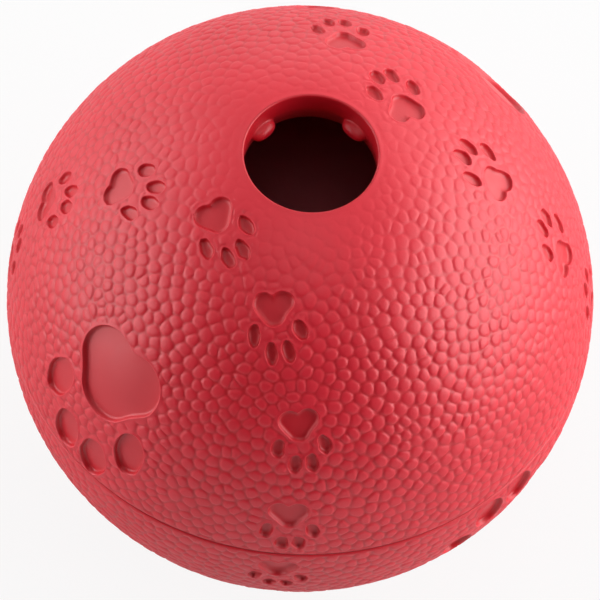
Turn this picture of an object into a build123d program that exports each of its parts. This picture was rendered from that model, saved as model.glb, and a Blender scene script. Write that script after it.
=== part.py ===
from build123d import *
import os
from math import atan2, cos, hypot, radians, sin, sqrt

# Treat dispensing ball: two moulded rubber half shells, cemented together at the equator round a
# loose-fitting labyrinth, with one round mouth that four rubber nubs narrow.
# The origin is the centre of the ball, +Z points out of the mouth and -Y is the front.
# Places on the ball are a latitude above the seam and a longitude from the front towards +X.

# Driving dimensions, in millimetres and degrees
# Ball
ball_diameter = 90.0
wall = 6.2

# Mouth at the top of the upper half shell
mouth_diameter = 20.2
mouth_flare = 0.15
lip_round = 0.3

# Cemented seam at the equator
bond_thickness = 0.5
seam_groove = 0.4

# Baffle plate, captured in a rebate on the inside of the seam
plate_thickness = 3.0
plate_overlap = 2.2
plate_clearance = 0.1
port_diameter = 17.0
port_reach = 22.0
port_longitudes = (60.0, 240.0)

# Cross-lapped divider panels that stand in the lower half shell under the plate
panel_thickness = 3.0
panel_clearance = 0.15
passage = 14.0

# Rubber nubs in the mouth, each on a round root in its socket
nub_names = ("front_right", "rear_right", "rear_left", "front_left")
nub_longitude = 50.0
nub_width = 4.6
nub_root_diameter = 2.4
nub_tip_diameter = 1.4
nub_reach = 1.6
nub_setback = 0.15
nub_clearance = 0.05
nub_end_clearance = 0.1
nub_edge_round = 0.5
nub_floor = 0.4
nub_ceiling = 0.15

# Paw prints pressed into the outside: widths of the pads, and depths
small_pad_width = 6.3
big_pad_width = 15.6
small_print_depth = 0.8
big_print_depth = 0.95

# How far a cutting shape runs past the face that it opens
overrun = 1.0

# One print as shares of its pad's width, with the toes towards +Y: radius and place of the pad's lobes
# and of its tip, and places of the toes
small_lobe_shares = (0.28, 0.22, -0.11)
small_tip_shares = (0.26, 0.19)
small_outer_toe_shares = (0.56, 0.61)
big_lobe_shares = (0.335, 0.175, -0.10)
big_tip_shares = (0.32, 0.155)
big_outer_toe_shares = (0.535, 0.61)
inner_toe_shares = (0.205, 1.09)
notch_round_share = 0.08
toe_width_share = 0.34
toe_length_share = 0.55
outer_toe_turn = 10.0
inner_toe_turn = 2.0

# Prints as latitude, longitude and heading of the toes clockwise from the mouth. The rest of the ball
# repeats them three times: a quarter turn on and upside down each time, so that the trail closes.
# The big prints of the lower half sit a little further round.
trail = (
    (6.1, -90.4, 1.0),
    (28.3, -92.1, 20.0),
    (50.4, -84.2, 30.0),
    (67.3, -52.2, 99.0),
    (57.6, -9.2, 160.0),
    (35.2, 1.9, 171.0),
    (13.4, 1.0, 176.0),
)
upper_big_prints = ((28.5, -43.3, 186.0),)
lower_big_prints = ((28.5, -39.3, 186.0),)
repeat_turn = 90.0

# Longitudes, clear of prints, where the revolved faces of the half shells start and end
upper_start = 45.0
lower_start = -45.0

# Sizes that follow from the driving dimensions
ball_radius = ball_diameter / 2
inner_radius = ball_radius - wall
mouth_radius = mouth_diameter / 2
throat_radius = mouth_radius + mouth_flare
seam_height = bond_thickness / 2
shoulder_height = plate_thickness / 2
plate_radius = inner_radius + plate_overlap
rebate_radius = plate_radius + plate_clearance
panel_radius = sqrt(inner_radius**2 - (panel_thickness / 2) ** 2) - panel_clearance
lap_width = panel_thickness + 2 * panel_clearance
lap_height = -(shoulder_height + panel_radius) / 2
nub_root_radius = nub_root_diameter / 2
nub_tip_radius = nub_tip_diameter / 2
socket_radius = nub_root_radius + nub_clearance
rim_height = sqrt(ball_radius**2 - mouth_radius**2)
throat_height = sqrt(inner_radius**2 - throat_radius**2)
nub_height = throat_height + nub_floor + socket_radius
collar_height = nub_height + socket_radius + nub_ceiling
nub_pivot_radius = mouth_radius + nub_setback
nub_tip_place = nub_reach + nub_setback - nub_tip_radius


def outward(latitude, longitude):
    """Unit vector from the centre of the ball to a place on it."""
    lat = radians(latitude)
    lon = radians(longitude)
    return Vector(cos(lat) * sin(lon), -cos(lat) * cos(lon), sin(lat))


def circle_point(radius, height):
    """Point of a circle round the origin, at a height above the seam."""
    return (sqrt(radius**2 - height**2), height)


def arc_between(start, end):
    """Arc round the origin from one point of a profile to another."""
    radius = hypot(*start)
    middle = (atan2(start[1], start[0]) + atan2(end[1], end[0])) / 2
    return ThreePointArc(start, (radius * cos(middle), radius * sin(middle)), end)


def section_plane(longitude):
    """Upright plane through the mouth's axis, with its X towards a longitude."""
    return Plane(origin=(0, 0, 0), x_dir=outward(0, longitude), z_dir=outward(0, longitude - 90))


def print_plane(place, along, across, turn, height):
    """Plane square to the ball at a spot of a print, its Y turned from the print's heading."""
    latitude, longitude, heading = place
    pad = outward(latitude, longitude)
    north = outward(latitude + 90, longitude)
    east = outward(0, longitude + 90)
    toes = north * cos(radians(heading)) + east * sin(radians(heading))
    side = toes.cross(pad)
    angle = hypot(along, across) / ball_radius
    bearing = atan2(across, along)
    spot = pad * cos(angle) + (toes * cos(bearing) + side * sin(bearing)) * sin(angle)
    spot_side = side.rotate(Axis((0, 0, 0), spot), -turn)
    spot_side = (spot_side - spot * spot_side.dot(spot)).normalized()
    return Plane(origin=spot * height, x_dir=spot_side, z_dir=spot)


def prints_of(places, step):
    """Places of every second repeat of some prints, starting from a given one."""
    repeats = []
    for turn in (step, step + 2):
        for latitude, longitude, heading in places:
            if step % 2:
                repeats.append((-latitude, longitude + turn * repeat_turn, 180 - heading))
            else:
                repeats.append((latitude, longitude + turn * repeat_turn, heading))
    return repeats


def pad_outline(pad_width, lobe_shares, tip_shares):
    """Heart-shaped pad of a print: two lobes at the heel, each drawn to the tip at the toes."""
    lobe_radius, across, along = (share * pad_width for share in lobe_shares)
    tip_radius, tip_place = (share * pad_width for share in tip_shares)
    with BuildSketch() as pad:
        for hand in (-1, 1):
            with BuildSketch(mode=Mode.PRIVATE) as lobe:
                with Locations((hand * across, along)):
                    Circle(lobe_radius)
                with Locations((0, tip_place)):
                    Circle(tip_radius)
                make_hull()
            add(lobe.sketch)
        notch = pad.vertices().sort_by(Axis.Y)[0]
        fillet(notch, radius=notch_round_share * pad_width)
    return pad.sketch


def press_prints(places, pad, pad_width, outer_toe_shares, depth):
    """Solids that press paw prints of one size into the ball, with floors that follow it."""
    toe_kinds = ((outer_toe_shares, outer_toe_turn), (inner_toe_shares, inner_toe_turn))
    floor_radius = ball_radius - depth
    foot_radius = floor_radius - overrun
    with BuildPart() as prints:
        for place in places:
            with BuildSketch(print_plane(place, 0, 0, 0, foot_radius)):
                add(pad)
            for (across, along), turn in toe_kinds:
                for hand in (-1, 1):
                    spot = (along * pad_width, hand * across * pad_width, hand * turn)
                    with BuildSketch(print_plane(place, *spot, foot_radius)):
                        Ellipse(toe_width_share * pad_width / 2, toe_length_share * pad_width / 2)
        extrude(amount=ball_radius + overrun - foot_radius)
        Sphere(floor_radius, mode=Mode.SUBTRACT)
    return prints.part


small_pad = pad_outline(small_pad_width, small_lobe_shares, small_tip_shares)
big_pad = pad_outline(big_pad_width, big_lobe_shares, big_tip_shares)
small_sizes = (small_pad, small_pad_width, small_outer_toe_shares, small_print_depth)
big_sizes = (big_pad, big_pad_width, big_outer_toe_shares, big_print_depth)
upper_prints = (
    press_prints(prints_of(trail, 0), *small_sizes),
    press_prints(prints_of(upper_big_prints, 0), *big_sizes),
)
lower_prints = (
    press_prints(prints_of(trail, 1), *small_sizes),
    press_prints(prints_of(lower_big_prints, 1), *big_sizes),
)


def nub_plane(longitude):
    """Plane across a nub's root, with its X towards the mouth's axis and its Y up."""
    spot = outward(0, longitude) * nub_pivot_radius + Vector(0, 0, nub_height)
    return Plane(origin=spot, x_dir=-outward(0, longitude), z_dir=outward(0, longitude + 90))


nub_step = 360 / len(nub_names)
nub_planes = [nub_plane(nub_longitude + index * nub_step) for index in range(len(nub_names))]

# Upper half shell: outer skin, lip, collar, throat, inner wall, shoulder and seam face in one section
with BuildPart() as upper_half_shell:
    with BuildSketch(section_plane(upper_start)):
        with BuildLine():
            seam_edge = circle_point(ball_radius, seam_height)
            shoulder_edge = circle_point(inner_radius, shoulder_height)
            arc_between(seam_edge, (mouth_radius, rim_height))
            Polyline((mouth_radius, rim_height), (mouth_radius, collar_height), (throat_radius, throat_height))
            arc_between((throat_radius, throat_height), shoulder_edge)
            Polyline(shoulder_edge, (rebate_radius, shoulder_height), (rebate_radius, seam_height), seam_edge)
        rim = make_face().vertices().sort_by(Axis.Z)[-1]
        fillet(rim, radius=lip_round)
    revolve(axis=Axis.Z)
    for plane in nub_planes:
        with BuildSketch(plane):
            Circle(socket_radius)
    extrude(amount=nub_width / 2 + nub_end_clearance, both=True, mode=Mode.SUBTRACT)
    add(upper_prints, mode=Mode.SUBTRACT)

# Lower half shell: a closed bowl with the same wall, shoulder and seam face
with BuildPart() as lower_half_shell:
    with BuildSketch(section_plane(lower_start)):
        with BuildLine():
            seam_edge = circle_point(ball_radius, -seam_height)
            shoulder_edge = circle_point(inner_radius, -shoulder_height)
            arc_between(seam_edge, (0, -ball_radius))
            Line((0, -ball_radius), (0, -inner_radius))
            arc_between((0, -inner_radius), shoulder_edge)
            Polyline(shoulder_edge, (rebate_radius, -shoulder_height), (rebate_radius, -seam_height), seam_edge)
        make_face()
    revolve(axis=Axis.Z)
    add(lower_prints, mode=Mode.SUBTRACT)

# Ring of cured rubber cement between the seam faces, set back from the skin as a fine groove
with BuildPart() as seam_bond:
    with BuildSketch(Plane.XY):
        Circle(ball_radius - seam_groove)
        Circle(rebate_radius, mode=Mode.SUBTRACT)
    extrude(amount=seam_height, both=True)

# Baffle plate across the equator, with two ports between the upper and the lower chambers
with BuildPart() as baffle_plate:
    with BuildSketch(Plane.XY):
        Circle(plate_radius)
        for longitude in port_longitudes:
            with Locations(outward(0, longitude) * port_reach):
                Circle(port_diameter / 2, mode=Mode.SUBTRACT)
    extrude(amount=plate_thickness / 2, both=True)

# Long divider panel, from side to side of the bowl, slotted from above
with BuildPart() as divider_long:
    with BuildSketch(Plane.XZ):
        Circle(panel_radius)
        with Locations((0, -shoulder_height)):
            Rectangle(2 * panel_radius, panel_radius, align=(Align.CENTER, Align.MAX), mode=Mode.INTERSECT)
        with Locations((0, lap_height)):
            Rectangle(lap_width, panel_radius, align=(Align.CENTER, Align.MIN), mode=Mode.SUBTRACT)
    extrude(amount=panel_thickness / 2, both=True)

# Cross divider panel, slotted from below, whose ends leave a passage along the shell
with BuildPart() as divider_cross:
    with BuildSketch(Plane.YZ):
        Circle(panel_radius)
        with Locations((0, -shoulder_height)):
            Rectangle(
                2 * (inner_radius - passage), panel_radius, align=(Align.CENTER, Align.MAX), mode=Mode.INTERSECT
            )
        with Locations((0, lap_height)):
            Rectangle(lap_width, panel_radius, align=(Align.CENTER, Align.MAX), mode=Mode.SUBTRACT)
    extrude(amount=panel_thickness / 2, both=True)

# Mouth nubs: a round root in its socket that tapers to a round tip
mouth_nubs = []
for name, plane in zip(nub_names, nub_planes):
    with BuildPart() as mouth_nub:
        with BuildSketch(plane):
            Circle(nub_root_radius)
            with Locations((nub_tip_place, 0)):
                Circle(nub_tip_radius)
            make_hull()
        extrude(amount=nub_width / 2, both=True)
        side_faces = mouth_nub.faces().sort_by(Axis((0, 0, 0), plane.z_dir))
        fillet(side_faces[0].edges() + side_faces[-1].edges(), radius=nub_edge_round)
    mouth_nubs.append((f"mouth_nub_{name}", mouth_nub))

pieces = [
    ("upper_half_shell", upper_half_shell),
    ("lower_half_shell", lower_half_shell),
    ("seam_bond", seam_bond),
    ("baffle_plate", baffle_plate),
    ("divider_long", divider_long),
    ("divider_cross", divider_cross),
] + mouth_nubs

os.makedirs("parts", exist_ok=True)
for label, piece in pieces:
    piece.part.label = label
    export_step(piece.part, f"parts/{label}.step")
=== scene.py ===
from math import asin, atan2, cos, hypot, pi, radians, sin, sqrt

import bpy
import numpy as np
from mathutils import Matrix, Vector
from mathutils.geometry import delaunay_2d_cdt


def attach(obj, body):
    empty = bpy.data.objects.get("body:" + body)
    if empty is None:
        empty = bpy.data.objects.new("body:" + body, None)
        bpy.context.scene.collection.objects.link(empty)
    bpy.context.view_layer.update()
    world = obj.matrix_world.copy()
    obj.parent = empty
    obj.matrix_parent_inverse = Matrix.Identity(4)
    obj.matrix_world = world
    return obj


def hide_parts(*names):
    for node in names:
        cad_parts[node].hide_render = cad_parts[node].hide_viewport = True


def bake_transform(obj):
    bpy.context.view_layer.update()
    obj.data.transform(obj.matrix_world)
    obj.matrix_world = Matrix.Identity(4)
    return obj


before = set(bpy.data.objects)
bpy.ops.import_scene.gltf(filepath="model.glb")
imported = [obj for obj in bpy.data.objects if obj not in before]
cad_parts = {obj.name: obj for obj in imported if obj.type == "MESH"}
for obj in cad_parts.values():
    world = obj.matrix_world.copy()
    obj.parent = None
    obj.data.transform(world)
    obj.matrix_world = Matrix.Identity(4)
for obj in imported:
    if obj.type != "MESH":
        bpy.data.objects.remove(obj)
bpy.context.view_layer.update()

# Treat dispensing ball: pebbled rubber skin with pressed paw prints, a smooth lip and nubs in the mouth.
# Shapes are worked out in millimetres round the ball's centre, with +Z out of the mouth and -Y at the front.
# Angles among the named values are in degrees, but golden_angle, lip_angle and collar_angle in radians.
# Longitudes run from the front towards +X.
MM = 0.001

# Sizes of the CAD model
ball_radius = 45.0
inner_radius = 38.8
mouth_radius = 10.1
throat_radius = 10.25
lip_round = 0.3
collar_height = 40.472
seam_height = 0.25
shoulder_height = 1.5
rebate_radius = 41.1
nub_height = 39.072
nub_reach = 1.6
nub_half_width = 2.3
nub_half_height = 1.2
nub_longitudes = {"front_right": 50.0, "rear_right": 140.0, "rear_left": 230.0, "front_left": 320.0}

# One print as shares of its pad's width, with the toes towards +Y
small_lobe_shares = (0.28, 0.22, -0.11)
small_tip_shares = (0.26, 0.19)
small_outer_toe_shares = (0.56, 0.61)
big_lobe_shares = (0.335, 0.175, -0.10)
big_tip_shares = (0.32, 0.155)
big_outer_toe_shares = (0.535, 0.61)
inner_toe_shares = (0.205, 1.09)
notch_blend_share = 0.05
toe_half_shares = (0.17, 0.275)
outer_toe_turn = 10.0
inner_toe_turn = 2.0

# Prints as latitude, longitude and heading of the toes clockwise from the mouth; the far side repeats them,
# and the lower half has its own a quarter turn on, mirrored in the seam
small_pad_width = 6.3
small_print_depth = 0.8
trail = (
    (6.1, -90.4, 1.0),
    (28.3, -92.1, 20.0),
    (50.4, -84.2, 30.0),
    (67.3, -52.2, 99.0),
    (57.6, -9.2, 160.0),
    (35.2, 1.9, 171.0),
    (13.4, 1.0, 176.0),
)
big_pad_width = 15.6
big_print_depth = 0.95
upper_big_prints = ((28.5, -43.3, 186.0),)
lower_big_prints = ((28.5, -39.3, 186.0),)
lower_turn = 90

# Pebbles of the skin
pebble_pitch = 2.15
pebble_seeds = {"upper": 11, "lower": 12}
site_jitter_share = 0.30
relax_rounds = 2
cap_overrun = 6.0
closed_overrun = 3.5
groove_depth = 0.19
pit_depth = 0.25
groove_insets = (0.0, 0.09)
corner_power = 5.2
pebble_loop_count = 10
pebble_rim_count = 5
shoulder_width = 0.18
shoulder_drop = 0.06
rim_width = 0.42
rim_drop = 0.01
least_reach = 0.3
top_spread = 0.08
edge_margin = 0.42
seam_slack = edge_margin / 3
collar_slack = edge_margin / 2

# Pebbles fade towards the mouth, to a least share of their height
fade_width = 26.0
least_fade = 0.15

# Loops round a print, as distance outside its outline and height above the skin, or share of the depth
lip_loops = ((0.32, -0.10), (0.11, -0.01), (0.0, -0.05))
lip_waver = 0.06
edge_ripple = 0.16
ripple_waves = np.arange(2, 7)
most_ripple = 0.1
lip_room_share = 0.9
floor_ring_shares = (0.66, 0.33)
small_floor_loops = ((-0.06, 0.46), (-0.19, 0.78), (-0.42, 0.95), (-0.75, 1.0))
big_floor_loops = ((-0.04, 0.55), (-0.13, 0.86), (-0.30, 0.97), (-0.55, 1.0))
loop_step = 0.36
least_toe_count = 12
pad_count_step = 4

# Rings round the mouth, as distance out from the lip's round and height, and rings beside the seam
mouth_rings = ((0.0, 0.0), (0.3, -0.01), (0.7, -0.06))
seam_rings = ((0.0, -0.32), (0.2, -0.12))
mouth_count = 128
seam_count = 256
lip_steps = 8
wall_steps = 12

# Nubs; the foot gives how far a nub spreads at the wall and at its root, and how deep each lies
nub_steps = 9
nub_count = 32
nub_square = 0.8
nub_flare = 0.18
nub_root = 0.6
nub_foot = ((nub_flare / 3, nub_flare / 6), (nub_flare, nub_root))

# Working values: steps and limits of the sums
golden_angle = pi * (3 - sqrt(5))
slanted = (0.3, 0.5, 0.8)
outline_halvings = 40
facing_cosine = 0.8
least_length = 1e-6
mesh_tolerance = 1e-8

# Relief that the materials read, from 0 at the bottom of a groove to 1 on top of a pebble; where it is low
# the rubber gets painted shade, so print floors, nubs and the mouth's inside are given low values for their
# painted shade
foot_relief = 0.4
shoulder_relief = 0.8
top_relief = 1.0
lip_relief = 0.8
floor_relief = 0.3
seam_relief = 0.6
mouth_relief = 0.8
inner_relief = 0.2
nub_relief = 0.4


def outward(latitude, longitude):
    """Unit vector from the centre of the ball to a place on it."""
    lat = radians(latitude)
    lon = radians(longitude)
    return np.array((cos(lat) * sin(lon), -cos(lat) * cos(lon), sin(lat)))


def unit(vectors):
    """Vectors of the same directions, one long."""
    return vectors / np.linalg.norm(vectors, axis=-1, keepdims=True)


def chart(directions):
    """Flat map of the ball's skin, drawn from the pole away from the middle of the half shell."""
    return directions[:, :2] / (1 + directions[:, 2:])


def turned(vector, axis, angle):
    """Vector turned about a unit axis."""
    return (
        vector * cos(angle)
        + np.cross(axis, vector) * sin(angle)
        + axis * np.dot(axis, vector) * (1 - cos(angle))
    )


def triangles_of(points, edges):
    """Delaunay triangles of flat points that keep the given edges."""
    found = delaunay_2d_cdt([Vector(p) for p in points.tolist()], edges, [], 0, mesh_tolerance)
    return found[0], np.array(found[2], int)


class Dent:
    """Part of a print, drawn in the plane square to the ball at its own spot."""

    def angles(self):
        """Angles of the outline's points round the middle."""
        return np.arange(self.count) * 2 * pi / self.count

    def ripple(self, rng):
        """Uneven edge of the moulded print, as an offset all round its outline."""
        sizes = rng.normal(0, edge_ripple, len(ripple_waves)) / ripple_waves
        phases = rng.uniform(0, 2 * pi, len(ripple_waves))
        waves = sizes * np.cos(self.angles()[:, None] * ripple_waves + phases)
        return np.clip(waves.sum(axis=1), -most_ripple, most_ripple)

    def skin_points(self, flat):
        """Directions to the places on the ball that lie straight above flat points."""
        rise = np.sqrt(ball_radius**2 - np.sum(flat**2, axis=1))
        return unit(np.column_stack((flat, rise)) @ self.axes)


class Toe(Dent):
    """Oval toe of a print."""

    def __init__(self, axes, width, depth, floor_loops):
        self.axes = axes
        self.depth = depth
        self.floor_loops = floor_loops
        self.halves = np.array(toe_half_shares) * width
        self.count = max(least_toe_count, int(2 * pi * np.mean(self.halves) / loop_step))

    def distance(self, flat):
        """Distance outside the oval, along the line from its middle."""
        reach = np.linalg.norm(flat / self.halves, axis=1)
        return (1 - 1 / np.maximum(reach, least_length)) * np.linalg.norm(flat, axis=1)

    def loop(self, offsets):
        """Oval with its half widths changed by the offsets."""
        angles = self.angles()
        return np.stack((np.cos(angles), np.sin(angles)), 1) * (self.halves + offsets[:, None])


class Pad(Dent):
    """Heart-shaped pad of a print: two lobes at the heel, each drawn to the tip at the toes."""

    def __init__(self, axes, width, depth, floor_loops, lobe_shares, tip_shares):
        self.axes = axes
        self.depth = depth
        self.floor_loops = floor_loops
        self.width = width
        self.lobe = np.array(lobe_shares) * width
        self.tip = np.array(tip_shares) * width
        self.count = int(pi * width / loop_step / pad_count_step) * pad_count_step

    def distance(self, flat):
        """Distance outside the nearer lobe, with the notch between them rounded."""
        left, right = (self.lobe_distance(flat, hand) for hand in (-1, 1))
        reach = notch_blend_share * self.width
        blend = np.maximum(reach - np.abs(left - right), 0) / reach
        return np.minimum(left, right) - blend**2 * reach / 4

    def lobe_distance(self, flat, hand):
        """Distance outside one lobe, the shape between its heel's circle and the tip's."""
        heel_radius, across, along = self.lobe
        tip_radius, tip_place = self.tip
        heel = np.array((hand * across, along))
        line = np.array((0, tip_place)) - heel
        size = line @ line
        near = flat - heel
        aside = np.abs(near @ np.array((line[1], -line[0]))) / size
        along = near @ line / size
        taper = heel_radius - tip_radius
        slant = sqrt(size - taper**2)
        turn = slant * along - taper * aside
        heel_gap = np.sqrt(size * (aside**2 + along**2)) - heel_radius
        tip_gap = np.sqrt(size * (aside**2 + (along - 1) ** 2)) - tip_radius
        side_gap = slant * aside + taper * along - heel_radius
        return np.where(turn < 0, heel_gap, np.where(turn > slant, tip_gap, side_gap))

    def loop(self, offsets):
        """Points at the offsets from the outline, found on rays from the middle."""
        angles = self.angles()
        rays = np.stack((np.cos(angles), np.sin(angles)), 1)
        low = np.zeros(self.count)
        high = np.full(self.count, self.width)
        for _ in range(outline_halvings):
            middle = (low + high) / 2
            inside = self.distance(rays * middle[:, None]) < offsets
            low = np.where(inside, middle, low)
            high = np.where(inside, high, middle)
        return rays * low[:, None]


def print_parts(places, width, depth, floor_loops, lobe_shares, tip_shares, outer_toe_shares):
    """Pad and toes of each print, each with the axes of its own plane."""
    parts = []
    toe_kinds = ((outer_toe_shares, outer_toe_turn), (inner_toe_shares, inner_toe_turn))
    for latitude, longitude, heading in places:
        pad = outward(latitude, longitude)
        north = outward(latitude + 90, longitude)
        east = outward(0, longitude + 90)
        toes = north * cos(radians(heading)) + east * sin(radians(heading))
        side = np.cross(toes, pad)
        parts.append(Pad(np.array((side, toes, pad)), width, depth, floor_loops, lobe_shares, tip_shares))
        for (across, along), turn in toe_kinds:
            for hand in (-1, 1):
                angle = hypot(along, across) * width / ball_radius
                bearing = atan2(hand * across, along)
                spot = pad * cos(angle) + (toes * cos(bearing) + side * sin(bearing)) * sin(angle)
                spot_side = turned(side, spot, radians(-hand * turn))
                spot_side = unit(spot_side - spot * (spot_side @ spot))
                axes = np.array((spot_side, np.cross(spot, spot_side), spot))
                parts.append(Toe(axes, width, depth, floor_loops))
    return parts


small_shares = (small_lobe_shares, small_tip_shares, small_outer_toe_shares)
big_shares = (big_lobe_shares, big_tip_shares, big_outer_toe_shares)
small_sizes = (small_pad_width, small_print_depth, small_floor_loops, *small_shares)
big_sizes = (big_pad_width, big_print_depth, big_floor_loops, *big_shares)


def half_prints(first_turn, big_prints):
    """Prints of one half shell, seen from its own pole."""
    parts = []
    for turn in (first_turn, first_turn + 180):
        for places, sizes in ((trail, small_sizes), (big_prints, big_sizes)):
            moved = [(latitude, longitude + turn, heading) for latitude, longitude, heading in places]
            parts.extend(print_parts(moved, *sizes))
    return parts


def cells_of(sites):
    """Voronoi cells on the ball: the corners, and for each site its corners in order."""
    _, faces = triangles_of(chart(sites), [])
    a, b, c = (sites[faces[:, k]] for k in range(3))
    corners = unit(np.cross(b - a, c - a))
    corners *= np.sign(np.sum(corners * a, axis=1, keepdims=True))
    owner = faces.ravel()
    corner = np.repeat(np.arange(len(faces)), 3)
    reach = chart(corners)[corner] - chart(sites)[owner]
    order = np.lexsort((np.arctan2(reach[:, 1], reach[:, 0]), owner))
    starts = np.searchsorted(owner[order], np.arange(len(sites) + 1))
    return corners, [corner[order[starts[i]:starts[i + 1]]] for i in range(len(sites))]


def pebble_cells(rng):
    """Pebbles' cells over a cap that runs a little past the seam."""
    lowest = -sin(radians(cap_overrun))
    area = 2 * pi * ball_radius**2 * (1 - lowest)
    count = int(area / (pebble_pitch**2 * sqrt(3) / 2))
    index = np.arange(count) + 0.5
    height = 1 - index * (1 - lowest) / count
    turns = index * golden_angle
    across = np.sqrt(1 - height**2)
    sites = np.stack((across * np.cos(turns), across * np.sin(turns), height), 1)
    sites = unit(sites + rng.normal(0, site_jitter_share * pebble_pitch / ball_radius, sites.shape))
    closed = sites[:, 2] > -sin(radians(closed_overrun))
    for _ in range(relax_rounds):
        corners, cells = cells_of(sites)
        for i in np.flatnonzero(closed):
            sites[i] = unit(corners[cells[i]].mean(axis=0))
    corners, cells = cells_of(sites)
    return corners, [cells[i] for i in np.flatnonzero(closed)]


def pebble_loops(corners, rng):
    """Centre of a cell, and the foot, the shoulder and the top's rim of its pebble, as directions."""
    centre = unit(corners.mean(axis=0))
    first = unit(np.cross(slanted, centre))
    second = np.cross(centre, first)
    flat = np.stack((corners @ first, corners @ second), 1) * ball_radius
    sides = np.roll(flat, -1, axis=0) - flat
    normals = np.stack((sides[:, 1], -sides[:, 0]), 1)
    normals /= np.maximum(np.linalg.norm(normals, axis=1, keepdims=True), least_length)
    insets = rng.uniform(*groove_insets, len(normals))
    gaps = np.maximum(np.sum(normals * flat, axis=1) - insets, least_reach)
    start = rng.uniform(0, 2 * pi)

    def ring(count, inset):
        angles = start + np.arange(count) * 2 * pi / count
        rays = np.stack((np.cos(angles), np.sin(angles)), 1)
        pull = np.maximum(rays @ normals.T / gaps, 0) ** corner_power
        reach = (pull.sum(axis=1) ** (-1 / corner_power) - inset) / ball_radius
        return unit(centre + reach[:, None] * (rays[:, :1] * first + rays[:, 1:] * second))

    foot = ring(pebble_loop_count, 0)
    shoulder = ring(pebble_loop_count, shoulder_width)
    return centre, foot, shoulder, ring(pebble_rim_count, rim_width)


class Skin:
    """Points of a half shell's outside, with their heights and the lines that the mesh keeps."""

    def __init__(self):
        self.directions = []
        self.heights = []
        self.reliefs = []
        self.lines = []
        self.count = 0

    def add(self, directions, heights, reliefs):
        """Adds points and gives their numbers."""
        size = len(directions)
        self.directions.append(directions)
        self.heights.append(np.broadcast_to(heights, size))
        self.reliefs.append(np.broadcast_to(reliefs, size))
        self.count += size
        return np.arange(self.count - size, self.count)

    def add_kept(self, directions, heights, reliefs, kept):
        """Adds the kept points, and gives every point its number, or -1 for one left out."""
        numbers = np.full(len(directions), -1)
        numbers[kept] = self.add(directions[kept], heights[kept], reliefs[kept])
        return numbers

    def join(self, starts, ends):
        """Keeps the lines between pairs of points that are both there."""
        both = (starts >= 0) & (ends >= 0)
        self.lines.extend(zip(starts[both].tolist(), ends[both].tolist()))

    def close(self, numbers):
        """Keeps the lines round rings of points."""
        self.join(numbers, np.roll(numbers, -1, axis=-1))


def ring_directions(angle, count):
    """Directions round the pole at an angle from it."""
    turns = np.arange(count) * 2 * pi / count
    across = sin(angle)
    return np.stack((np.cos(turns) * across, np.sin(turns) * across, np.full(count, cos(angle))), 1)


lip_centre_height = sqrt((ball_radius - lip_round) ** 2 - (mouth_radius + lip_round) ** 2)
lip_angle = atan2(mouth_radius + lip_round, lip_centre_height)
collar_angle = lip_angle + (mouth_rings[-1][0] + collar_slack) / ball_radius


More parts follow.
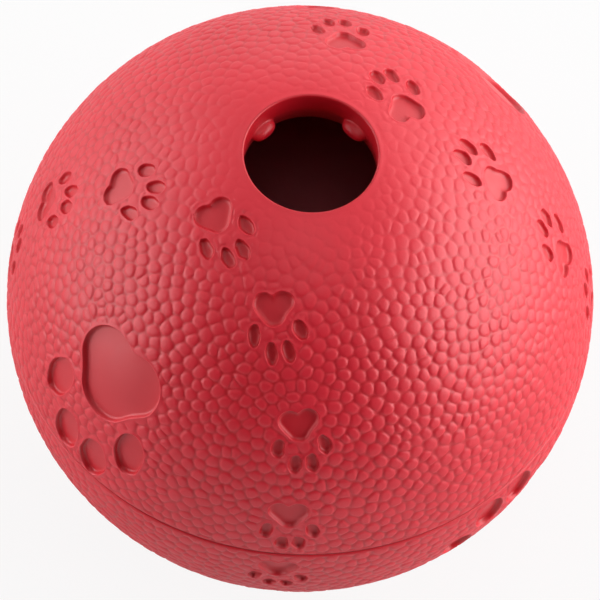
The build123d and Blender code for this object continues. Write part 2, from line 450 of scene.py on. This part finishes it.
def half_skin(parts, has_mouth, seed):
    """Outside of one half shell as directions, heights, reliefs and triangles, with its border rings."""
    rng = np.random.default_rng(seed)
    skin = Skin()
    corners, cells = pebble_cells(rng)

    def room(directions, leave_out=None):
        """Distance from the nearest print, and from the smooth bands at the mouth and the seam."""
        above_seam = np.arcsin(directions[:, 2]) - asin(seam_height / ball_radius)
        nearest = above_seam * ball_radius - seam_rings[-1][0] + seam_slack
        if has_mouth:
            below_mouth = np.arccos(directions[:, 2]) - collar_angle
            nearest = np.minimum(nearest, below_mouth * ball_radius + edge_margin)
        for part in parts:
            if part is leave_out:
                continue
            local = directions @ part.axes.T
            facing = np.flatnonzero(local[:, 2] > facing_cosine)
            gap = part.distance(local[facing, :2] * ball_radius)
            nearest[facing] = np.minimum(nearest[facing], gap)
        return nearest

    def softened(directions):
        """Share of the full relief: pebbles fade towards the mouth."""
        if not has_mouth:
            return np.ones(len(directions))
        away = (np.arccos(np.clip(directions[:, 2], -1, 1)) - collar_angle) * ball_radius
        return np.clip(least_fade + away / fade_width, least_fade, 1)

    # Bottom of the grooves, where three pebbles meet
    heights = -pit_depth * softened(corners)
    kept = np.zeros(len(corners), bool)
    used = np.unique(np.concatenate(cells))
    kept[used] = room(corners[used]) > edge_margin
    # The groove bottoms get the least relief, and so the most painted shade, less of it near the mouth
    skin.add_kept(corners, heights, 1 - softened(corners), kept)

    # Pebbles: a steep side, a rounded shoulder and a flat top
    loops = [pebble_loops(corners[cell], rng) for cell in cells]
    tops = -rng.uniform(0, top_spread, len(cells))
    centres = np.array([loop[0] for loop in loops])
    keep = room(centres) > edge_margin
    skin.add_kept(centres, tops * softened(centres), np.ones(len(cells)), keep)
    lows = np.full(len(cells), -groove_depth)
    rings_of_pebbles = (
        (1, lows, foot_relief),
        (2, tops - shoulder_drop, shoulder_relief),
        (3, tops - rim_drop, top_relief),
    )
    for index, levels, relief in rings_of_pebbles:
        rings = np.array([loop[index] for loop in loops])
        points = rings.reshape(-1, 3)
        heights = np.repeat(levels, rings.shape[1]) * softened(points)
        # The lower rings of a pebble get more painted shade, fading towards the mouth
        reliefs = 1 - (1 - relief) * softened(points)
        keep = room(points) > edge_margin
        numbers = skin.add_kept(points, heights, reliefs, keep).reshape(rings.shape[:2])
        skin.close(numbers)

    # Prints: a low lip, a steep wall and a smooth floor that follows the ball
    for part in parts:
        ripple = part.ripple(rng)
        rims = [(offset, height, True) for offset, height in lip_loops]
        rims += [(offset, -share * part.depth, False) for offset, share in part.floor_loops]
        for offset, height, outside in rims:
            points = part.skin_points(part.loop(offset + ripple))
            heights = np.full(len(points), height)
            if outside:
                heights -= rng.uniform(0, lip_waver, len(points))
            keep = np.ones(len(points), bool)
            if outside and offset > 0:
                keep = room(points, part) > offset * lip_room_share
            # Print floors get a low relief, which gives them painted shade
            reliefs = np.full(len(points), lip_relief if outside else floor_relief)
            skin.close(skin.add_kept(points, heights, reliefs, keep))
        floor_edge = part.loop(part.floor_loops[-1][0] + ripple)[::2]
        for share in floor_ring_shares:
            skin.add(part.skin_points(floor_edge * share), -part.depth, floor_relief)
        skin.add(part.axes[2:], -part.depth, floor_relief)

    # Smooth bands beside the seam and round the mouth
    borders = []
    for distance, height in seam_rings:
        angle = pi / 2 - asin(seam_height / ball_radius) - distance / ball_radius
        borders.append(skin.add(ring_directions(angle, seam_count), height, seam_relief))
        skin.close(borders[-1])
    mouth_border = None
    if has_mouth:
        for distance, height in mouth_rings:
            angle = lip_angle + distance / ball_radius
            ring = skin.add(ring_directions(angle, mouth_count), height, mouth_relief)
            skin.close(ring)
            mouth_border = ring if mouth_border is None else mouth_border

    directions = np.concatenate(skin.directions)
    heights = np.concatenate(skin.heights)
    reliefs = np.concatenate(skin.reliefs)
    points, faces = triangles_of(chart(directions), skin.lines)
    # A point that the mesh adds where two lines cross takes the height of its neighbours
    for extra in range(len(directions), len(points)):
        around = np.setdiff1d(faces[np.any(faces == extra, axis=1)], np.arange(len(heights), len(points)))
        heights = np.append(heights, heights[around].mean())
        reliefs = np.append(reliefs, reliefs[around].mean())
        flat = np.array(points[extra])
        square = flat @ flat
        directions = np.vstack((directions, np.append(2 * flat, 1 - square) / (1 + square)))
    if has_mouth:
        faces = faces[~np.all(np.isin(faces, mouth_border), axis=1)]
    return directions * (ball_radius + heights)[:, None], reliefs, faces, borders[0], mouth_border


def ring_points(radius, height, count):
    """Points round the mouth's axis."""
    turns = np.arange(count) * 2 * pi / count
    return np.stack((radius * np.cos(turns), radius * np.sin(turns), np.full(count, height)), 1)


def bridge(inner, outer):
    """Triangles between two rings, where the second has a whole number of points for each of the first."""
    ratio = len(outer) // len(inner)
    faces = []
    for i in range(len(inner)):
        here = inner[i]
        following = inner[(i + 1) % len(inner)]
        fan = [outer[(i * ratio + k) % len(outer)] for k in range(ratio + 1)]
        middle = (ratio + 1) // 2
        for k in range(ratio):
            faces.append((here if k < middle else following, fan[k], fan[k + 1]))
        faces.append((here, fan[middle], following))
    return faces


def half_shell(name, parts, has_mouth, seed):
    """Closed mesh of one half shell: pebbled outside, lip, throat, inner wall and seam face.

    The half without the mouth is made the same way up and then mirrored in the seam.
    """
    points, reliefs, faces, seam_ring, mouth_ring = half_skin(parts, has_mouth, seed)
    rows = [points]
    count = len(points)
    faces = faces.tolist()
    profile = []
    if has_mouth:
        for step in range(1, lip_steps + 1):
            turn = (pi / 2 - lip_angle) + (pi / 2 + lip_angle) * step / lip_steps
            across = mouth_radius + lip_round + lip_round * cos(turn)
            profile.append((across, lip_centre_height + lip_round * sin(turn)))
        profile += [(mouth_radius, collar_height), (throat_radius, sqrt(inner_radius**2 - throat_radius**2))]
        first = asin(throat_radius / inner_radius)
    else:
        first = 0
    last = pi / 2 - asin(shoulder_height / inner_radius)
    for step in range(1, wall_steps + 1):
        angle = first + (last - first) * step / wall_steps
        profile.append((inner_radius * sin(angle), inner_radius * cos(angle)))
    profile.append((rebate_radius, shoulder_height))
    profile.append((rebate_radius, seam_height))
    previous = mouth_ring
    if not has_mouth:
        rows.append(np.array([[0, 0, inner_radius]]))
        pole = count
        count += 1
    for radius, height in profile:
        rows.append(ring_points(radius, height, mouth_count))
        ring = np.arange(count, count + mouth_count)
        count += mouth_count
        if previous is None:
            faces += [(pole, ring[(i + 1) % mouth_count], ring[i]) for i in range(mouth_count)]
        else:
            faces += [face[::-1] for face in bridge(previous, ring)]
        previous = ring
    faces += [face[::-1] for face in bridge(previous, seam_ring)]
    points = np.concatenate(rows)
    # Everything inside the skin's border rings, the lip's round, the throat, the inner wall and the seam
    # face, gets a low relief, which gives it painted shade
    reliefs = np.concatenate((reliefs, np.full(count - len(reliefs), inner_relief)))
    if not has_mouth:
        points = points * (1, 1, -1)
        faces = [face[::-1] for face in faces]
    return mesh_object(name, points, faces, reliefs)


def mesh_object(name, points, faces, reliefs):
    """Smooth mesh in metres, with its relief kept for the materials."""
    mesh = bpy.data.meshes.new(name)
    mesh.from_pydata((points * MM).tolist(), [], [tuple(int(v) for v in face) for face in faces])
    mesh.polygons.foreach_set("use_smooth", np.ones(len(mesh.polygons), bool))
    relief = mesh.attributes.new("relief", "FLOAT", "POINT")
    relief.data.foreach_set("value", np.asarray(reliefs, np.float32))
    mesh.update()
    piece = bpy.data.objects.new(name, mesh)
    bpy.context.scene.collection.objects.link(piece)
    return piece


def nub(name, longitude):
    """Rounded rubber nub that grows out of the wall of the mouth."""
    lon = radians(longitude) - pi / 2
    profile = []
    for step in range(1, nub_steps + 1):
        angle = pi / 2 * step / nub_steps
        profile.append((sin(angle) ** nub_square, nub_reach * cos(angle) ** nub_square))
    profile += [(1 + spread, -depth) for spread, depth in nub_foot]
    points = [(mouth_radius - nub_reach, lon, nub_height)]
    for share, rise in profile:
        for k in range(nub_count):
            turn = 2 * pi * k / nub_count
            aside = nub_half_width * share * cos(turn)
            up = nub_half_height * share * sin(turn)
            points.append((mouth_radius - rise, lon + aside / mouth_radius, nub_height + up))
    points.append((mouth_radius + nub_root, lon, nub_height))
    points = np.array([(r * cos(a), r * sin(a), z) for r, a, z in points])
    rings = [np.arange(1 + i * nub_count, 1 + (i + 1) * nub_count) for i in range(len(profile))]
    faces = [(0, rings[0][(k + 1) % nub_count], rings[0][k]) for k in range(nub_count)]
    for inner, outer in zip(rings, rings[1:]):
        faces += [face[::-1] for face in bridge(inner, outer)]
    back = len(points) - 1
    faces += [(back, rings[-1][k], rings[-1][(k + 1) % nub_count]) for k in range(nub_count)]
    # The nubs get a low relief, which gives them painted shade
    return mesh_object(name, points, faces, np.full(len(points), nub_relief))


# Rubber: scale and detail of its patterns, where their ramps start and end, and how strongly they show
mottle_noise = (90, 4)
mottle_stops = (0.35, 0.65)
speck_noise = (1400, 3)
speck_stops = (0.62, 0.80)
speck_strength = 0.25
gloss_noise = (500, 3)
gloss_spread = (-0.05, 0.07)
grain_noise = (3200, 4)
grain_strength = 0.5
# Where the painted shade starts and ends along the relief
shade_paint_stops = (0.0, 0.8)
dulling_stops = (0.2, 0.9)
dulling = 0.04
specular_level = 0.7
black = (0, 0, 0)
white = (1, 1, 1)


def feed(tree, value, socket):
    """Links a node's output to a socket, or sets the socket to a plain value."""
    if hasattr(value, "links"):
        tree.links.new(value, socket)
    else:
        socket.default_value = value


def combined(tree, operation, first, second):
    """Output of a node that does one sum with two values."""
    node = tree.nodes.new("ShaderNodeMath")
    node.operation = operation
    feed(tree, first, node.inputs[0])
    feed(tree, second, node.inputs[1])
    return node.outputs["Value"]


def rubber(name, colour, shade, pale, roughness, grain_depth, painted_shade):
    """Moulded rubber: mottled with pale specks, with painted shade where its relief is low, duller on top,
    with a fine grain.
    """
    material = bpy.data.materials.new(name)
    material.use_nodes = True
    tree = material.node_tree
    nodes = tree.nodes
    links = tree.links
    shader = nodes["Principled BSDF"]
    place = nodes.new("ShaderNodeTexCoord")

    def noise(scale, detail):
        node = nodes.new("ShaderNodeTexNoise")
        node.inputs["Scale"].default_value = scale
        node.inputs["Detail"].default_value = detail
        links.new(place.outputs["Object"], node.inputs["Vector"])
        return node.outputs["Fac"]

    def ramp(source, positions, colours):
        node = nodes.new("ShaderNodeValToRGB")
        for element, position, value in zip(node.color_ramp.elements, positions, colours):
            element.position = position
            element.color = (*value, 1)
        links.new(source, node.inputs["Fac"])
        return node.outputs["Color"]

    def mixed(factor, first, second, blend="MIX"):
        node = nodes.new("ShaderNodeMix")
        node.data_type = "RGBA"
        node.blend_type = blend
        for identifier, value in (("Factor_Float", factor), ("A_Color", first), ("B_Color", second)):
            feed(tree, value, next(s for s in node.inputs if s.identifier == identifier))
        return next(s for s in node.outputs if s.identifier == "Result_Color")

    relief = nodes.new("ShaderNodeAttribute")
    relief.attribute_name = "relief"

    mottle = ramp(noise(*mottle_noise), mottle_stops, (shade, colour))
    specks = ramp(noise(*speck_noise), speck_stops, (black, white))
    speckled = mixed(combined(tree, "MULTIPLY", specks, speck_strength), mottle, (*pale, 1))
    # Painted shade: where the relief is low, in grooves, print floors and other hollows, the colour is
    # multiplied down towards the shade colour
    shade_paint = ramp(relief.outputs["Fac"], shade_paint_stops, (painted_shade, white))
    links.new(mixed(1.0, speckled, shade_paint, "MULTIPLY"), shader.inputs["Base Color"])

    gloss = nodes.new("ShaderNodeMapRange")
    gloss.inputs["To Min"].default_value = roughness + gloss_spread[0]
    gloss.inputs["To Max"].default_value = roughness + gloss_spread[1]
    links.new(noise(*gloss_noise), gloss.inputs["Value"])
    duller = ramp(relief.outputs["Fac"], dulling_stops, (black, (dulling,) * 3))
    links.new(combined(tree, "ADD", gloss.outputs["Result"], duller), shader.inputs["Roughness"])

    bump = nodes.new("ShaderNodeBump")
    bump.inputs["Strength"].default_value = grain_strength
    bump.inputs["Distance"].default_value = grain_depth * MM
    links.new(noise(*grain_noise), bump.inputs["Height"])
    links.new(bump.outputs["Normal"], shader.inputs["Normal"])
    shader.inputs["Specular IOR Level"].default_value = specular_level
    return material


def dress(piece, material):
    """Gives a piece its one material."""
    piece.data.materials.clear()
    piece.data.materials.append(material)


# Each rubber's last colour is the painted shade that multiplies its colour where the relief is low; the CAD
# pieces carry no relief, so on them it darkens the whole piece evenly
skin_rubber = rubber(
    "red_rubber",
    colour=(0.80, 0.014, 0.034),
    shade=(0.75, 0.011, 0.029),
    pale=(0.84, 0.04, 0.06),
    roughness=0.41,
    grain_depth=0.02,
    painted_shade=(0.78, 0.42, 0.48),
)
inner_rubber = rubber(
    "labyrinth_rubber",
    colour=(0.62, 0.11, 0.13),
    shade=(0.54, 0.08, 0.10),
    pale=(0.66, 0.14, 0.16),
    roughness=0.55,
    grain_depth=0.04,
    painted_shade=(0.8, 0.8, 0.8),
)
cement = rubber(
    "cured_cement",
    colour=(0.50, 0.030, 0.040),
    shade=(0.42, 0.022, 0.030),
    pale=(0.55, 0.06, 0.06),
    roughness=0.35,
    grain_depth=0.04,
    painted_shade=(0.9, 0.9, 0.9),
)

# Pieces
for name, first_turn, big_prints, has_mouth in (
    ("upper", 0, upper_big_prints, True),
    ("lower", lower_turn, lower_big_prints, False),
):
    parts = half_prints(first_turn, big_prints)
    shell = half_shell(f"{name}_shell_skin", parts, has_mouth, pebble_seeds[name])
    dress(shell, skin_rubber)
    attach(shell, "ball")
    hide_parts(f"{name}_half_shell")

for name, longitude in nub_longitudes.items():
    piece = nub(f"nub_{name}", longitude)
    dress(piece, skin_rubber)
    away = outward(0, longitude)
    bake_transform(piece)
    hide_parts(f"mouth_nub_{name}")

for name, material in (
    ("seam_bond", cement),
    ("baffle_plate", inner_rubber),
    ("divider_long", inner_rubber),
    ("divider_cross", inner_rubber),
):
    dress(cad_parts[name], material)

# Camera at the photograph's angle, for a picture of 600 by 600; only its reach is in metres
camera_distance = 1800.0
camera_elevation = 60.1
camera_roll = 4.3
camera_lens = 704.4
camera_sensor = 36.0
camera_reach = 20.0
image_size = 600
ball_image_centre = (300.09, 298.59)
camera_data = bpy.data.cameras.new("camera")
camera_data.sensor_width = camera_sensor
camera_data.lens = camera_lens
camera_data.clip_end = camera_reach
camera_data.shift_x = (image_size / 2 - ball_image_centre[0]) / image_size
camera_data.shift_y = -(image_size / 2 - ball_image_centre[1]) / image_size
camera = bpy.data.objects.new("camera", camera_data)
bpy.context.scene.collection.objects.link(camera)
backward = outward(camera_elevation, 0)
level = np.array((1.0, 0.0, 0.0))
upward = np.cross(backward, level)
roll = radians(camera_roll)
right = level * cos(roll) + upward * sin(roll)
top = upward * cos(roll) - level * sin(roll)
camera.matrix_world = Matrix(
    [[right[i], top[i], backward[i], backward[i] * camera_distance * MM] for i in range(3)] + [[0, 0, 0, 1]]
)
bpy.context.scene.camera = camera

# Studio: soft boxes by azimuth, elevation, width, height and power, in metres and watts
lamp_distance = 0.85
soft_boxes = {
    "right_box": (93, 13, 1.1, 0.95, 13.4),
    "right_back_box": (142, 18, 0.5, 0.8, 2.2),
    "back_box": (180, 8, 0.5, 0.5, 1.3),
    "top_box": (180, 62, 0.7, 0.6, 1.1),
    "front_top_box": (0, 76, 0.4, 0.4, 0.7),
    "left_box": (-99, 15, 1.3, 1.0, 7.3),
    "left_low_box": (-84, 0, 0.7, 0.5, 2.5),
    "left_back_box": (-145, 12, 0.5, 0.7, 0.7),
}
for name, (azimuth, elevation, width, height, power) in soft_boxes.items():
    lamp = bpy.data.lights.new(name, "AREA")
    lamp.shape = "RECTANGLE"
    lamp.size = width
    lamp.size_y = height
    lamp.energy = power
    holder = bpy.data.objects.new(name, lamp)
    bpy.context.scene.collection.objects.link(holder)
    away = Vector(outward(elevation, azimuth))
    holder.location = away * lamp_distance
    holder.rotation_euler = away.to_track_quat("Z", "Y").to_euler()

# Studio: white floor and surround; gloss sees a share of their white, and the floor's paper takes the shadow
mirrored_white = 0.05
floor_half_width = 2.0
floor_height = -ball_radius * MM
floor_paper = (0.8, 0.8, 0.8)
floor_roughness = 0.9
floor_white_share = 0.88
surround_light = 0.03
full_white = 1.0


def white_share(tree):
    """How much of the white a ray sees: all from the camera, some in gloss, none as light."""
    rays = tree.nodes.new("ShaderNodeLightPath").outputs
    mirrored = combined(tree, "MAXIMUM", rays["Is Glossy Ray"], rays["Is Transmission Ray"])
    dimmed = combined(tree, "MULTIPLY", mirrored, mirrored_white)
    return combined(tree, "MAXIMUM", rays["Is Camera Ray"], dimmed)


floor_corners = [
    (x * floor_half_width, y * floor_half_width, floor_height)
    for x, y in ((-1, -1), (1, -1), (1, 1), (-1, 1))
]
floor_mesh = bpy.data.meshes.new("floor")
floor_mesh.from_pydata(floor_corners, [], [(0, 1, 2, 3)])
floor = bpy.data.objects.new("floor", floor_mesh)
bpy.context.scene.collection.objects.link(floor)
floor_material = bpy.data.materials.new("floor_white")
floor_material.use_nodes = True
tree = floor_material.node_tree
paper = tree.nodes["Principled BSDF"]
paper.inputs["Base Color"].default_value = (*floor_paper, 1)
paper.inputs["Roughness"].default_value = floor_roughness
glow = tree.nodes.new("ShaderNodeEmission")
glow.inputs["Strength"].default_value = full_white
blend = tree.nodes.new("ShaderNodeMixShader")
tree.links.new(combined(tree, "MULTIPLY", white_share(tree), floor_white_share), blend.inputs["Fac"])
tree.links.new(paper.outputs["BSDF"], blend.inputs[1])
tree.links.new(glow.outputs["Emission"], blend.inputs[2])
tree.links.new(blend.outputs["Shader"], tree.nodes["Material Output"].inputs["Surface"])
floor_mesh.materials.append(floor_material)

world = bpy.data.worlds.new("surround")
bpy.context.scene.world = world
world.use_nodes = True
tree = world.node_tree
sky = tree.nodes["Background"]
sky.inputs["Color"].default_value = (*white, 1)
strength = tree.nodes.new("ShaderNodeMapRange")
strength.inputs["To Min"].default_value = surround_light
strength.inputs["To Max"].default_value = full_white
tree.links.new(white_share(tree), strength.inputs["Value"])
tree.links.new(strength.outputs["Result"], sky.inputs["Strength"])

bpy.context.scene.view_settings.view_transform = "Standard"
